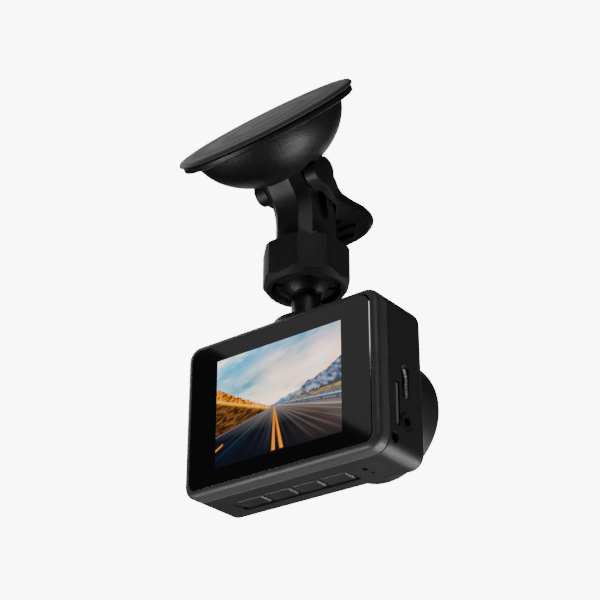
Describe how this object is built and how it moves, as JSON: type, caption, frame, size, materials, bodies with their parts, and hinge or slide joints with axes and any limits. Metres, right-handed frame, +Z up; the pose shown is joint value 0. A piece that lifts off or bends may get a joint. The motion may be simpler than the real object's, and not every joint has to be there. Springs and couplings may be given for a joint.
{
  "type": "dash camera",
  "caption": "Compact windscreen dash camera with rear screen and round lens shroud, hung from a lever-locked suction cup by a ball joint and clamp nut.",
  "frame": {"origin": "middle of the suction cup's flat face", "axes": "+X to the right for someone looking at the screen, +Y forward out through the lens, +Z up"},
  "size_m": [0.0631, 0.0577, 0.1223],
  "materials": {
    "shell_black": "fine-grained satin charcoal black",
    "frame_grey": "satin dark grey",
    "screen_gloss": "glossy black-bordered screen window",
    "soft_black": "matte, slightly dusty soft polymer",
    "nylon_black": "satin moulded nylon",
    "lit_panel": "lit display panel",
    "film_white": "white moulded plastic",
    "board_green": "solder-masked circuit board",
    "chip_black": "moulded component black",
    "steel": "bright plated steel",
    "lens_glass": "coated optical glass",
    "cap_sleeve": "shrunk blue sleeve"
  },
  "bodies": {
    "suction_mount": {"suction_housing": "shell_black", "suction_pad": "soft_black", "arm": "shell_black", "arm_screw_1": "steel", "arm_screw_2": "steel"},
    "pull_rod": {"pull_post": "steel", "lever_pin": "steel"},
    "lock_lever": {"lever": "nylon_black"},
    "clamp_nut_body": {"clamp_nut": "nylon_black"},
    "friction_liner": {"ball_liner": "film_white"},
    "ball_head": {"ball_stud": "nylon_black", "retaining_clip": "steel"},
    "camera_body": {"main_shell": "shell_black", "lens_shroud": "shell_black", "rear_frame": "frame_grey", "lens_retaining_ring": "frame_grey", "screen_glass": "screen_gloss", "lcd_panel": "lit_panel", "backlight": "film_white", "lens_barrel": "nylon_black", "lens_holder": "nylon_black", "video_jack": "nylon_black", "board_connector": "nylon_black", "main_board": "board_green", "sensor_board": "board_green", "port_board": "board_green", "button_board": "board_green", "processor": "chip_black", "memory_chip": "chip_black", "motion_sensor": "chip_black", "image_sensor": "chip_black", "speaker": "chip_black", "heat_spreader": "steel", "usb_c_socket": "steel", "microsd_socket": "steel", "tact_switch_1": "steel", "tact_switch_2": "steel", "tact_switch_3": "steel", "tact_switch_4": "steel", "microphone": "steel", "reset_switch": "steel", "side_screw_1": "steel", "side_screw_2": "steel", "board_screw_1": "steel", "board_screw_2": "steel", "board_screw_3": "steel", "lens_screw_1": "steel", "lens_screw_2": "steel", "lens_screw_3": "steel", "swivel_washer": "steel", "front_lens": "lens_glass", "middle_lens": "lens_glass", "rear_lens": "lens_glass", "supercapacitor_1": "cap_sleeve", "supercapacitor_2": "cap_sleeve"},
    "memory_card": {"microsd_card": "chip_black"},
    "button_1_body": {"button_1": "shell_black"},
    "button_2_body": {"button_2": "shell_black"},
    "button_3_body": {"button_3": "shell_black"},
    "button_4_body": {"button_4": "shell_black"}
  },
  "joints": [
    {"name": "post_pull", "type": "slide", "parent": "suction_mount", "child": "pull_rod", "axis": [0, 0.7302, -0.6833], "range_m": [0, 0.0016]},
    {"name": "lever_swing", "type": "hinge", "parent": "pull_rod", "child": "lock_lever", "pos_m": [0, 0.01314, -0.0123], "axis": [1, 0, 0], "range_deg": [0, 60]},
    {"name": "nut_turn", "type": "hinge", "parent": "suction_mount", "child": "clamp_nut_body", "pos_m": [0, 0.01918, -0.04189], "axis": [0, 0, 1], "range_deg": [0, 180]},
    {"name": "ball_roll", "type": "hinge", "parent": "suction_mount", "child": "friction_liner", "pos_m": [0, 0.01918, -0.04189], "axis": [0, 1, 0], "range_deg": [-15, 15]},
    {"name": "ball_tilt", "type": "hinge", "parent": "friction_liner", "child": "ball_head", "pos_m": [0, 0.01918, -0.04189], "axis": [1, 0, 0], "range_deg": [-20, 20]},
    {"name": "camera_pan", "type": "hinge", "parent": "ball_head", "child": "camera_body", "pos_m": [0, 0.01918, -0.04189], "axis": [0, 0, 1], "continuous": true},
    {"name": "card_slide", "type": "slide", "parent": "camera_body", "child": "memory_card", "axis": [1, 0, 0], "range_m": [0, 0.004]},
    {"name": "button_1_press", "type": "slide", "parent": "camera_body", "child": "button_1_body", "axis": [0, 0, 1], "range_m": [0, 0.00025], "stiffness_N_per_m": 400},
    {"name": "button_2_press", "type": "slide", "parent": "camera_body", "child": "button_2_body", "axis": [0, 0, 1], "range_m": [0, 0.00025], "stiffness_N_per_m": 400},
    {"name": "button_3_press", "type": "slide", "parent": "camera_body", "child": "button_3_body", "axis": [0, 0, 1], "range_m": [0, 0.00025], "stiffness_N_per_m": 400},
    {"name": "button_4_press", "type": "slide", "parent": "camera_body", "child": "button_4_body", "axis": [0, 0, 1], "range_m": [0, 0.00025], "stiffness_N_per_m": 400}
  ],
  "couplings": [
    {"joint": "post_pull", "follows": "lever_swing", "m_per_rad": 0.0014324}
  ]
}
